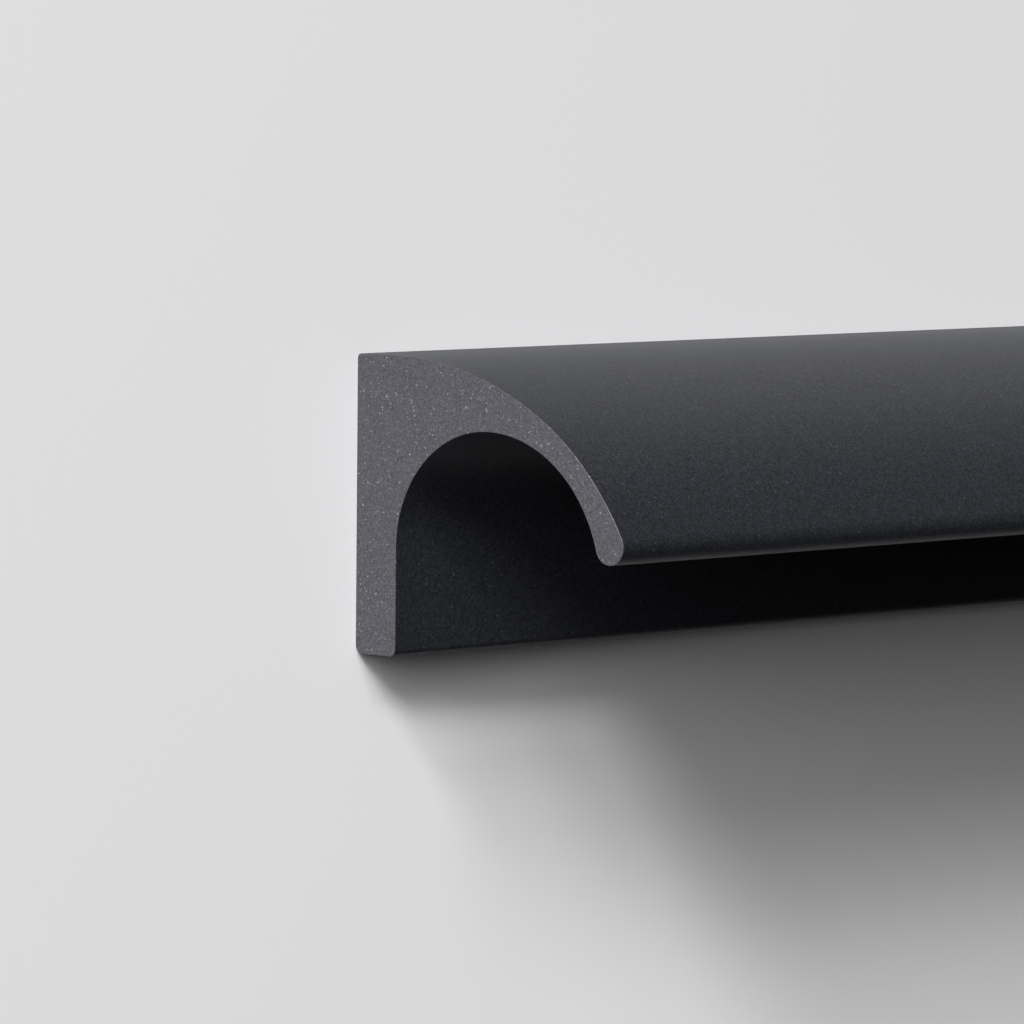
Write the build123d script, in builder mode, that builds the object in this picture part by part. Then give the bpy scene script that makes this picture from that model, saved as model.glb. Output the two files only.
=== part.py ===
from build123d import *
from math import cos, radians, sin, sqrt, tan
import os

# Cabinet pull in millimetres: one bar sawn from a hard, one-piece aluminium extrusion.
# +X runs along the bar, +Y points up as the pull is mounted, and +Z points out from its back.
# The origin is the middle of the flat back, and the pull lies on that back at Z = 0.

# The bar
length = 200.0
height = 25.0
leg_thickness = 4.5

# Outer curve, from the flat top round to the lip
top_flat = 4.0
crown_radius = 32.0
crown_turn = 30.0
nose_radius = 25.0
lip_bead_radius = 1.5

# Finger recess, open downwards
recess_ceiling = 5.9
recess_back_radius = 10.1
recess_front_radius = 12.5

# Edges
top_corner_radius = 0.4
foot_back_radius = 0.8
foot_front_radius = 0.6
end_break = 0.1

# Two blind holes in the back, tapped M4
screw_spacing = 160.0
screw_drop = 4.0
tapping_drill_radius = 1.65
hole_depth = 10.0
drill_point_angle = 118.0
mouth_radius = 2.15
mouth_angle = 90.0


def at(out, down):
    """Point of the section, by its distance out from the back and down from the top."""
    return Vector(height / 2 - down, out)


def circles_meet(centre_a, radius_a, centre_b, radius_b):
    """The meeting point of two circles that lies to the left, seen from centre_a to centre_b."""
    span = centre_b - centre_a
    along = (radius_a**2 - radius_b**2 + span.length**2) / (2 * span.length)
    aside = sqrt(radius_a**2 - along**2)
    unit = span.normalized()
    return centre_a + unit * along + unit.rotate(Axis.Z, 90) * aside


# The lip's bead touches the nose arc from inside and the recess's front arc from outside.
crown_centre = at(top_flat, crown_radius)
crown_to_nose = Vector(cos(radians(crown_turn)), sin(radians(crown_turn)))
nose_centre = crown_centre + crown_to_nose * (crown_radius - nose_radius)
recess_apex = at(leg_thickness + recess_back_radius, recess_ceiling)
recess_front_centre = recess_apex - Vector(recess_front_radius, 0)
bead_centre = circles_meet(
    nose_centre,
    nose_radius - lip_bead_radius,
    recess_front_centre,
    recess_front_radius + lip_bead_radius,
)
bead_start = nose_centre + (bead_centre - nose_centre).normalized() * nose_radius
bead_end = recess_front_centre + (bead_centre - recess_front_centre).normalized() * recess_front_radius

with BuildPart() as pull_profile:
    # Section of the extrusion, drawn on the plane across the bar
    with BuildSketch(Plane.YZ) as section:
        with BuildLine():
            back = Line(at(0, height), at(0, 0))
            top = Line(back @ 1, at(top_flat, 0))
            crown = JernArc(top @ 1, top % 1, crown_radius, crown_turn)
            nose = TangentArc(crown @ 1, bead_start, tangent=crown % 1)
            bead = TangentArc(nose @ 1, bead_end, tangent=nose % 1)
            recess_front = TangentArc(bead @ 1, recess_apex, tangent=bead % 1)
            leg_start = at(leg_thickness, recess_ceiling + recess_back_radius)
            recess_back = TangentArc(recess_front @ 1, leg_start, tangent=recess_front % 1)
            leg = Line(recess_back @ 1, at(leg_thickness, height))
            foot = Line(leg @ 1, back @ 0)
        make_face()
        corners = (
            (at(0, 0), top_corner_radius),
            (at(0, height), foot_back_radius),
            (at(leg_thickness, height), foot_front_radius),
        )
        for corner, radius in corners:
            fillet(section.vertices().sort_by_distance(corner)[0], radius=radius)
    extrude(amount=length / 2, both=True)

    # The sawn ends, with their edges broken
    ends = pull_profile.faces().filter_by(Plane.YZ)
    chamfer(ends.edges(), length=end_break)

    # Screw holes, drilled from the back with a pointed drill and countersunk at the mouth
    screw_line = Plane(origin=(0, height / 2 - screw_drop, 0), x_dir=(1, 0, 0), z_dir=(0, 0, -1))
    with Locations(screw_line), GridLocations(screw_spacing, 0, 2, 1):
        CounterSinkHole(tapping_drill_radius, mouth_radius, hole_depth, mouth_angle)
    drill_point = tapping_drill_radius / tan(radians(drill_point_angle / 2))
    with Locations(screw_line.offset(-hole_depth)), GridLocations(screw_spacing, 0, 2, 1):
        point_up = (Align.CENTER, Align.CENTER, Align.MAX)
        Cone(0, tapping_drill_radius, drill_point, align=point_up, mode=Mode.SUBTRACT)

pull_profile.part.label = "pull_profile"

os.makedirs("parts", exist_ok=True)
export_step(pull_profile.part, "parts/pull_profile.step")
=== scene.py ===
from math import acos, atan2, cos, pi, radians, sin, tan

import bmesh
import bpy
from mathutils import Matrix, Vector


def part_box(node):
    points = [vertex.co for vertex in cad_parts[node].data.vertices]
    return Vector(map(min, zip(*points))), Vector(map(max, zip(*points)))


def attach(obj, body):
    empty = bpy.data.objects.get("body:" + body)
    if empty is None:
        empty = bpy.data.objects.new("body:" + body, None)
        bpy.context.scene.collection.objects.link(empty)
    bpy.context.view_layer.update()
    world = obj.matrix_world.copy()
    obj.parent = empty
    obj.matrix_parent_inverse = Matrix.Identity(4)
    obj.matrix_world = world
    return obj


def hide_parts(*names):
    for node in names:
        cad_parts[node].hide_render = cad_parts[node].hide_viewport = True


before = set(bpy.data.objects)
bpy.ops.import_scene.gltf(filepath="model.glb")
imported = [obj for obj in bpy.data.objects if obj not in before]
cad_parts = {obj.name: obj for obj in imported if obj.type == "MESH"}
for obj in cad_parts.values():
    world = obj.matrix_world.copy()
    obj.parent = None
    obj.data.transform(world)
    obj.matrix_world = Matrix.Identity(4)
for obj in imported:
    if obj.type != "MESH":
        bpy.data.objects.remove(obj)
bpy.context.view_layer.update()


# The camera: a long lens to the left of the cut end, a little above it, with +Y upright.
# Its place, turn and lens come from the measured outline of the cut end in the photograph.
mm = 0.001
camera_place = Vector((-520.6, 39.7, 399.7)) * mm
camera_right = Vector((0.67299, 0.00902, 0.73960))
camera_up = Vector((0.04520, 0.99756, -0.05329))
focal_pixels, image_pixels = 7000, 1024

camera_data = bpy.data.cameras.new("camera")
camera_data.sensor_width = 36
camera_data.lens = focal_pixels / image_pixels * camera_data.sensor_width
camera_data.clip_start, camera_data.clip_end = 0.01, 50
camera = bpy.data.objects.new("camera", camera_data)
camera_axes = Matrix((camera_right, camera_up, camera_right.cross(camera_up))).transposed()
camera.matrix_world = Matrix.Translation(camera_place) @ camera_axes.to_4x4()
bpy.context.scene.collection.objects.link(camera)
bpy.context.scene.camera = camera


# The pull: one bar sawn from an aluminium extrusion, drilled and tapped from the back, then
# bead-blasted and anodised matt black. Its section has a flat back and top, an outer face of
# two tangent arcs down to a rounded lip, and an arched finger recess behind the lip.
bar_low, bar_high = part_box("pull_profile")
height = bar_high.y - bar_low.y
leg_thickness = 4.5 * mm
top_flat = 4.0 * mm
crown_radius, crown_turn = 32.0 * mm, radians(30)
nose_radius = 25.0 * mm
lip_bead_radius = 1.5 * mm
recess_ceiling = 5.9 * mm
recess_back_radius, recess_front_radius = 10.1 * mm, 12.5 * mm
top_corner_radius = 0.4 * mm
foot_back_radius, foot_front_radius = 0.8 * mm, 0.6 * mm
end_break, end_break_steps = 0.06 * mm, 3
arc_step = radians(2)
quarter = radians(90)
joined_within = 0.001 * mm


def at(out, down):
    """Point of the section at the bar's left end, out from the back and down from the top."""
    return Vector((bar_low.x, bar_high.y - down, out))


def turn_of(centre, point):
    """Angle of a section point about a centre, from straight up towards straight out."""
    arm = point - centre
    return atan2(arm.z, arm.y)


def draw_to(shape, pen, point):
    """Draws a straight stretch of an outline from the pen's point, and returns its far end."""
    far_end = bmesh.ops.extrude_vert_indiv(shape, verts=[pen])["verts"][0]
    far_end.co = point
    return far_end


def draw_round(shape, pen, centre, angle):
    """Draws an arc of the section's outline; a positive angle turns from up towards out."""
    steps = round(abs(angle) / arc_step)
    swept = bmesh.ops.spin(shape, geom=[pen], cent=centre, axis=(1, 0, 0), angle=angle, steps=steps)
    return next(part for part in swept["geom_last"] if isinstance(part, bmesh.types.BMVert))


# Centres of the arcs. The bead touches the nose arc from inside and the recess from outside.
crown_centre = at(top_flat, crown_radius)
crown_end = Vector((0, cos(crown_turn), sin(crown_turn)))
nose_centre = crown_centre + crown_end * (crown_radius - nose_radius)
recess_back_centre = at(leg_thickness + recess_back_radius, recess_ceiling + recess_back_radius)
recess_front_centre = at(leg_thickness + recess_back_radius, recess_ceiling + recess_front_radius)
span = recess_front_centre - nose_centre
to_nose, to_front = nose_radius - lip_bead_radius, recess_front_radius + lip_bead_radius
bead_angle = acos((to_nose**2 + span.length**2 - to_front**2) / (2 * to_nose * span.length))
toward_bead = Matrix.Rotation(bead_angle, 3, "X") @ span.normalized()
bead_centre = nose_centre + toward_bead * to_nose
nose_turn = turn_of(nose_centre, bead_centre) - crown_turn
recess_front_turn = turn_of(recess_front_centre, bead_centre)
bead_turn = pi - crown_turn - nose_turn + recess_front_turn

# The outline, from the foot of the back up, over the outer face and round through the recess
bar = bmesh.new()
foot = height - foot_front_radius
pen = bar.verts.new(at(0, height - foot_back_radius))
pen = draw_to(bar, pen, at(0, top_corner_radius))
pen = draw_round(bar, pen, at(top_corner_radius, top_corner_radius), quarter)
pen = draw_to(bar, pen, at(top_flat, 0))
pen = draw_round(bar, pen, crown_centre, crown_turn)
pen = draw_round(bar, pen, nose_centre, nose_turn)
pen = draw_round(bar, pen, bead_centre, bead_turn)
pen = draw_round(bar, pen, recess_front_centre, -recess_front_turn)
pen = draw_round(bar, pen, recess_back_centre, -quarter)
pen = draw_to(bar, pen, at(leg_thickness, foot))
pen = draw_round(bar, pen, at(leg_thickness - foot_front_radius, foot), quarter)
pen = draw_to(bar, pen, at(foot_back_radius, height))
draw_round(bar, pen, at(foot_back_radius, height - foot_back_radius), quarter)
bmesh.ops.remove_doubles(bar, verts=bar.verts, dist=joined_within)

# The bar is pulled from that section. Its faces take material 0, and its sawn ends, with
# their edges broken, take material 1.
left_end = bmesh.ops.contextual_create(bar, geom=bar.edges)["faces"][0]
pulled = bmesh.ops.extrude_face_region(bar, geom=[left_end])
right_points = [part for part in pulled["geom"] if isinstance(part, bmesh.types.BMVert)]
bmesh.ops.translate(bar, verts=right_points, vec=(bar_high.x - bar_low.x, 0, 0))
bmesh.ops.recalc_face_normals(bar, faces=bar.faces)
for face in bar.faces:
    face.material_index = int(abs(face.normal.x) > cos(quarter / 2))
sawn = [face for face in bar.faces if face.material_index == 1]
sawn_edges = [edge for face in sawn for edge in face.edges]
broken = bmesh.ops.bevel(bar, geom=sawn_edges, offset=end_break, segments=end_break_steps,
                         profile=0.5, affect="EDGES", material=-1)
for face in broken["faces"]:
    face.material_index = 1

bar_mesh = bpy.data.meshes.new("extruded_bar")
bar.to_mesh(bar_mesh)
bar.free()
extruded_bar = bpy.data.objects.new("extruded_bar", bar_mesh)
bpy.context.scene.collection.objects.link(extruded_bar)

# The two screw holes in the back, by which the pull is held with screws from behind: drilled
# blind, countersunk at the mouth and tapped M4 x 0.7 right-handed.
screw_spacing, screw_drop = 160.0 * mm, 4.0 * mm
drill_radius, hole_depth, drill_point_angle = 1.65 * mm, 10.0 * mm, radians(118)
mouth_radius, mouth_angle = 2.15 * mm, radians(90)
thread_radius, thread_pitch, thread_depth = 2.0 * mm, 0.7 * mm, 8.0 * mm
thread_angle, thread_crest = radians(60), thread_pitch / 8
hole_steps = 40
overcut = 0.2 * mm
drill_tip = hole_depth + drill_radius / tan(drill_point_angle / 2)
mouth_depth = (mouth_radius - drill_radius) / tan(mouth_angle / 2)
mouth_overcut = mouth_radius + overcut * tan(mouth_angle / 2)

# The drill with its point and the countersink above it, as one turned tool on the Z axis
drill = bmesh.new()
pen = drill.verts.new((0, 0, drill_tip))
pen = draw_to(drill, pen, (drill_radius, 0, hole_depth))
pen = draw_to(drill, pen, (drill_radius, 0, mouth_depth))
pen = draw_to(drill, pen, (mouth_overcut, 0, -overcut))
draw_to(drill, pen, (0, 0, -overcut))
bmesh.ops.spin(drill, geom=drill.verts[:] + drill.edges[:], cent=(0, 0, 0), axis=(0, 0, 1),
               angle=2 * pi, steps=hole_steps, use_merge=True)

# The tap: one pitch of the thread's form, wound up the hole and cut off square at both ends
core = drill_radius - overcut / 4
flank = (thread_radius - core) * tan(thread_angle / 2)
thread_start = -2 * thread_pitch
turns = round((thread_depth - thread_start) / thread_pitch) + 1
tap = bmesh.new()
pen = tap.verts.new((core, 0, thread_start))
pen = draw_to(tap, pen, (thread_radius, 0, thread_start + flank))
pen = draw_to(tap, pen, (thread_radius, 0, thread_start + flank + thread_crest))
pen = draw_to(tap, pen, (core, 0, thread_start + 2 * flank + thread_crest))
draw_to(tap, pen, (core, 0, thread_start + thread_pitch))
bmesh.ops.spin(tap, geom=tap.verts[:] + tap.edges[:], cent=(0, 0, 0), axis=(0, 0, 1),
               dvec=(0, 0, thread_pitch / hole_steps), angle=2 * pi * turns,
               steps=hole_steps * turns)
bmesh.ops.remove_doubles(tap, verts=tap.verts, dist=joined_within)
for cut_height, outward in ((-overcut / 2, -1), (thread_depth, 1)):
    cut = bmesh.ops.bisect_plane(tap, geom=tap.verts[:] + tap.edges[:] + tap.faces[:],
                                 plane_co=(0, 0, cut_height), plane_no=(0, 0, outward),
                                 clear_outer=True)
    rim = [part for part in cut["geom_cut"] if isinstance(part, bmesh.types.BMEdge)]
    bmesh.ops.contextual_create(tap, geom=rim)

# Each tool is set at both holes and cuts the bar
for name, tool in (("drilling", drill), ("tapping", tap)):
    bmesh.ops.remove_doubles(tool, verts=tool.verts, dist=joined_within)
    bmesh.ops.recalc_face_normals(tool, faces=tool.faces)
    other = bmesh.ops.duplicate(tool, geom=tool.verts[:] + tool.edges[:] + tool.faces[:])["geom"]
    other_points = {part for part in other if isinstance(part, bmesh.types.BMVert)}
    for point in tool.verts:
        side = 1 if point in other_points else -1
        point.co += Vector((side * screw_spacing / 2, bar_high.y - screw_drop, 0))
    tool_mesh = bpy.data.meshes.new(name)
    tool.to_mesh(tool_mesh)
    tool.free()
    tool_object = bpy.data.objects.new(name, tool_mesh)
    bpy.context.scene.collection.objects.link(tool_object)
    cutting = extruded_bar.modifiers.new(name, "BOOLEAN")
    cutting.operation, cutting.solver, cutting.object = "DIFFERENCE", "EXACT", tool_object
    ready = extruded_bar.evaluated_get(bpy.context.evaluated_depsgraph_get())
    extruded_bar.data = bpy.data.meshes.new_from_object(ready)
    extruded_bar.modifiers.remove(cutting)
    bpy.data.objects.remove(tool_object)

# Points that the cuts left on top of each other are joined, and faces with no area go
bar_mesh = extruded_bar.data
bar_mesh.name = "extruded_bar"
cut_bar = bmesh.new()
cut_bar.from_mesh(bar_mesh)
bmesh.ops.remove_doubles(cut_bar, verts=cut_bar.verts, dist=joined_within)
bmesh.ops.dissolve_degenerate(cut_bar, edges=cut_bar.edges, dist=joined_within)
cut_bar.to_mesh(bar_mesh)
cut_bar.free()

# All of it is shaded smooth except where two faces meet at a real edge
real_edge = radians(12)
bar_mesh.shade_smooth()
bar_mesh.set_sharp_from_angle(angle=real_edge)

# The finish: the beads leave a fine grain of round dents, which the black anodic layer
# keeps. Each dent is one cell with its own even tone. A rare one gets a painted glint, a
# highlight painted into its colour, most of them gathered in faint patches.
grain_and_painted_highlights = bpy.data.node_groups.new("blasted_grain_and_painted_highlights", "ShaderNodeTree")
grain_and_painted_highlights.interface.new_socket("Position", in_out="INPUT", socket_type="NodeSocketVector")
grain_and_painted_highlights.interface.new_socket("Dents per metre", in_out="INPUT", socket_type="NodeSocketFloat")
grain_and_painted_highlights.interface.new_socket("Contrast", in_out="INPUT", socket_type="NodeSocketFloat")
grain_and_painted_highlights.interface.new_socket("Painted Glints", in_out="INPUT", socket_type="NodeSocketFloat")
grain_and_painted_highlights.interface.new_socket("Tone and painted highlights", in_out="OUTPUT", socket_type="NodeSocketFloat")
grain_and_painted_highlights.interface.new_socket("Height", in_out="OUTPUT", socket_type="NodeSocketFloat")
even_chance, plain_tone, painted_glint_rarity = 0.5, 1, 40
patch_size, patch_detail, patch_contrast = 1.0 * mm, 1, 2
given = grain_and_painted_highlights.nodes.new("NodeGroupInput")
dents = grain_and_painted_highlights.nodes.new("ShaderNodeTexVoronoi")
chance = grain_and_painted_highlights.nodes.new("ShaderNodeSeparateColor")
around_zero = grain_and_painted_highlights.nodes.new("ShaderNodeMath")
around_zero.operation = "SUBTRACT"
around_zero.inputs[1].default_value = even_chance
even_tone = grain_and_painted_highlights.nodes.new("ShaderNodeMath")
even_tone.operation = "MULTIPLY_ADD"
even_tone.inputs[2].default_value = plain_tone
# Painted glints: a rare dent's colour is raised far above the rest, as a painted highlight.
painted_glint = grain_and_painted_highlights.nodes.new("ShaderNodeMath")
painted_glint.operation = "POWER"
painted_glint.inputs[1].default_value = painted_glint_rarity
patches = grain_and_painted_highlights.nodes.new("ShaderNodeTexNoise")
patches.inputs["Scale"].default_value = 1 / patch_size
patches.inputs["Detail"].default_value = patch_detail
clear_patches = grain_and_painted_highlights.nodes.new("ShaderNodeMath")
clear_patches.operation = "POWER"
clear_patches.inputs[1].default_value = patch_contrast
patchy_painted_glint = grain_and_painted_highlights.nodes.new("ShaderNodeMath")
patchy_painted_glint.operation = "MULTIPLY"
# The tone out is each dent's own even tone plus the painted glints.
tone_and_painted_highlights = grain_and_painted_highlights.nodes.new("ShaderNodeMath")
tone_and_painted_highlights.operation = "MULTIPLY_ADD"
result = grain_and_painted_highlights.nodes.new("NodeGroupOutput")
grain_and_painted_highlights.links.new(given.outputs["Position"], dents.inputs["Vector"])
grain_and_painted_highlights.links.new(given.outputs["Dents per metre"], dents.inputs["Scale"])
grain_and_painted_highlights.links.new(dents.outputs["Color"], chance.inputs["Color"])
grain_and_painted_highlights.links.new(chance.outputs["Red"], around_zero.inputs[0])
grain_and_painted_highlights.links.new(around_zero.outputs["Value"], even_tone.inputs[0])
grain_and_painted_highlights.links.new(given.outputs["Contrast"], even_tone.inputs[1])
grain_and_painted_highlights.links.new(chance.outputs["Green"], painted_glint.inputs[0])
grain_and_painted_highlights.links.new(given.outputs["Position"], patches.inputs["Vector"])
grain_and_painted_highlights.links.new(patches.outputs["Fac"], clear_patches.inputs[0])
grain_and_painted_highlights.links.new(clear_patches.outputs["Value"], patchy_painted_glint.inputs[0])
grain_and_painted_highlights.links.new(painted_glint.outputs["Value"], patchy_painted_glint.inputs[1])
grain_and_painted_highlights.links.new(patchy_painted_glint.outputs["Value"], tone_and_painted_highlights.inputs[0])
grain_and_painted_highlights.links.new(given.outputs["Painted Glints"], tone_and_painted_highlights.inputs[1])
grain_and_painted_highlights.links.new(even_tone.outputs["Value"], tone_and_painted_highlights.inputs[2])
grain_and_painted_highlights.links.new(tone_and_painted_highlights.outputs["Value"], result.inputs["Tone and painted highlights"])
grain_and_painted_highlights.links.new(dents.outputs["Distance"], result.inputs["Height"])


def anodised(name, colour, dent_size, contrast, painted_glints):
    """Matt black anodised metal with the dents of the blasting, in the given colour, with painted
    highlights on rare dents.
    """
    metal_share, gloss_blur, back_scatter, layer_ior = 0.5, 0.5, 1.0, 1.27
    relief_strength, relief_depth = 0.3, dent_size / 6
    finish = bpy.data.materials.new(name)
    finish.use_nodes = True
    nodes, links = finish.node_tree.nodes, finish.node_tree.links
    surface = nodes["Principled BSDF"]
    surface.inputs["Metallic"].default_value = metal_share
    surface.inputs["Roughness"].default_value = gloss_blur
    surface.inputs["Diffuse Roughness"].default_value = back_scatter
    surface.inputs["IOR"].default_value = layer_ior
    position = nodes.new("ShaderNodeTexCoord")
    blasting_and_painted_highlights = nodes.new("ShaderNodeGroup")
    blasting_and_painted_highlights.node_tree = grain_and_painted_highlights
    blasting_and_painted_highlights.inputs["Dents per metre"].default_value = 1 / dent_size
    blasting_and_painted_highlights.inputs["Contrast"].default_value = contrast
    blasting_and_painted_highlights.inputs["Painted Glints"].default_value = painted_glints
    shade = nodes.new("ShaderNodeVectorMath")
    shade.operation = "SCALE"
    shade.inputs["Vector"].default_value = colour
    relief = nodes.new("ShaderNodeBump")
    relief.inputs["Strength"].default_value = relief_strength
    relief.inputs["Distance"].default_value = relief_depth
    links.new(position.outputs["Object"], blasting_and_painted_highlights.inputs["Position"])
    links.new(blasting_and_painted_highlights.outputs["Tone and painted highlights"], shade.inputs["Scale"])
    links.new(shade.outputs["Vector"], surface.inputs["Base Color"])
    links.new(blasting_and_painted_highlights.outputs["Height"], relief.inputs["Height"])
    links.new(relief.outputs["Normal"], surface.inputs["Normal"])
    return finish


face_black, end_black = (0.0248, 0.0262, 0.0314), (0.0755, 0.0741, 0.0841)
# The glints are painted highlights raised into the colour, on the sawn ends about twice as strong.
face_dents, face_contrast, face_painted_glints = 0.15 * mm, 0.7, 3.6
end_dents, end_contrast, end_painted_glints = 0.115 * mm, 0.66, 7.0
face_finish = anodised("anodised_face", face_black, face_dents, face_contrast, face_painted_glints)
end_finish = anodised("anodised_end", end_black, end_dents, end_contrast, end_painted_glints)
bar_mesh.materials.append(face_finish)
bar_mesh.materials.append(end_finish)
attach(extruded_bar, "root")
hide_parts("pull_profile")


# The floor: one plain pale surface, far wider than the pull, which lies on it on its flat
# back. It is the stage and no part of the object.
floor_reach, floor_grey, floor_roughness = 10, (0.82, 0.82, 0.83, 1), 0.8
floor_shape = bmesh.new()
bmesh.ops.create_grid(floor_shape, x_segments=1, y_segments=1, size=floor_reach)
floor_mesh = bpy.data.meshes.new("floor")
floor_shape.to_mesh(floor_mesh)
floor_shape.free()
floor = bpy.data.objects.new("floor", floor_mesh)
bpy.context.scene.collection.objects.link(floor)
pale = bpy.data.materials.new("pale_floor")
pale.use_nodes = True
pale_surface = pale.node_tree.nodes["Principled BSDF"]
pale_surface.inputs["Base Color"].default_value = floor_grey
pale_surface.inputs["Roughness"].default_value = floor_roughness
floor_mesh.materials.append(pale)


# The light: three small key lamps up and to the left, one above them and one broad fill lamp
# beside them, all round and soft, in a dim room. Each is given by its degrees up from the
# bar's left, its degrees out from the floor, its angular radius and its brightness.
lamp_distance = 4.0
room_glow = (0.020, 0.020, 0.021, 1)
for name, upward, outward, angular_radius, brightness in (
    ("key_low", 46, 12, 5, 1.7),
    ("key_middle", 38, 22, 5, 1.4),
    ("key_high", 50, 30, 6, 0.5),
    ("top", 61, 38, 7, 0.7),
    ("fill", 27, 17, 27, 4.15),
):
    toward_lamp = Vector((-cos(radians(upward)), sin(radians(upward)), tan(radians(outward))))
    toward_lamp.normalize()
    lamp = bpy.data.lights.new(name, "AREA")
    lamp.shape = "DISK"
    lamp.size = 2 * lamp_distance * tan(radians(angular_radius))
    lamp.energy = brightness * pi * lamp_distance**2
    lamp_object = bpy.data.objects.new(name, lamp)
    lamp_turn = toward_lamp.to_track_quat("Z", "Y").to_matrix().to_4x4()
    lamp_object.matrix_world = Matrix.Translation(toward_lamp * lamp_distance) @ lamp_turn
    bpy.context.scene.collection.objects.link(lamp_object)
room = bpy.data.worlds.new("room")
room.use_nodes = True
room.node_tree.nodes["Background"].inputs["Color"].default_value = room_glow
bpy.context.scene.world = room
bpy.context.scene.view_settings.view_transform = "Standard"
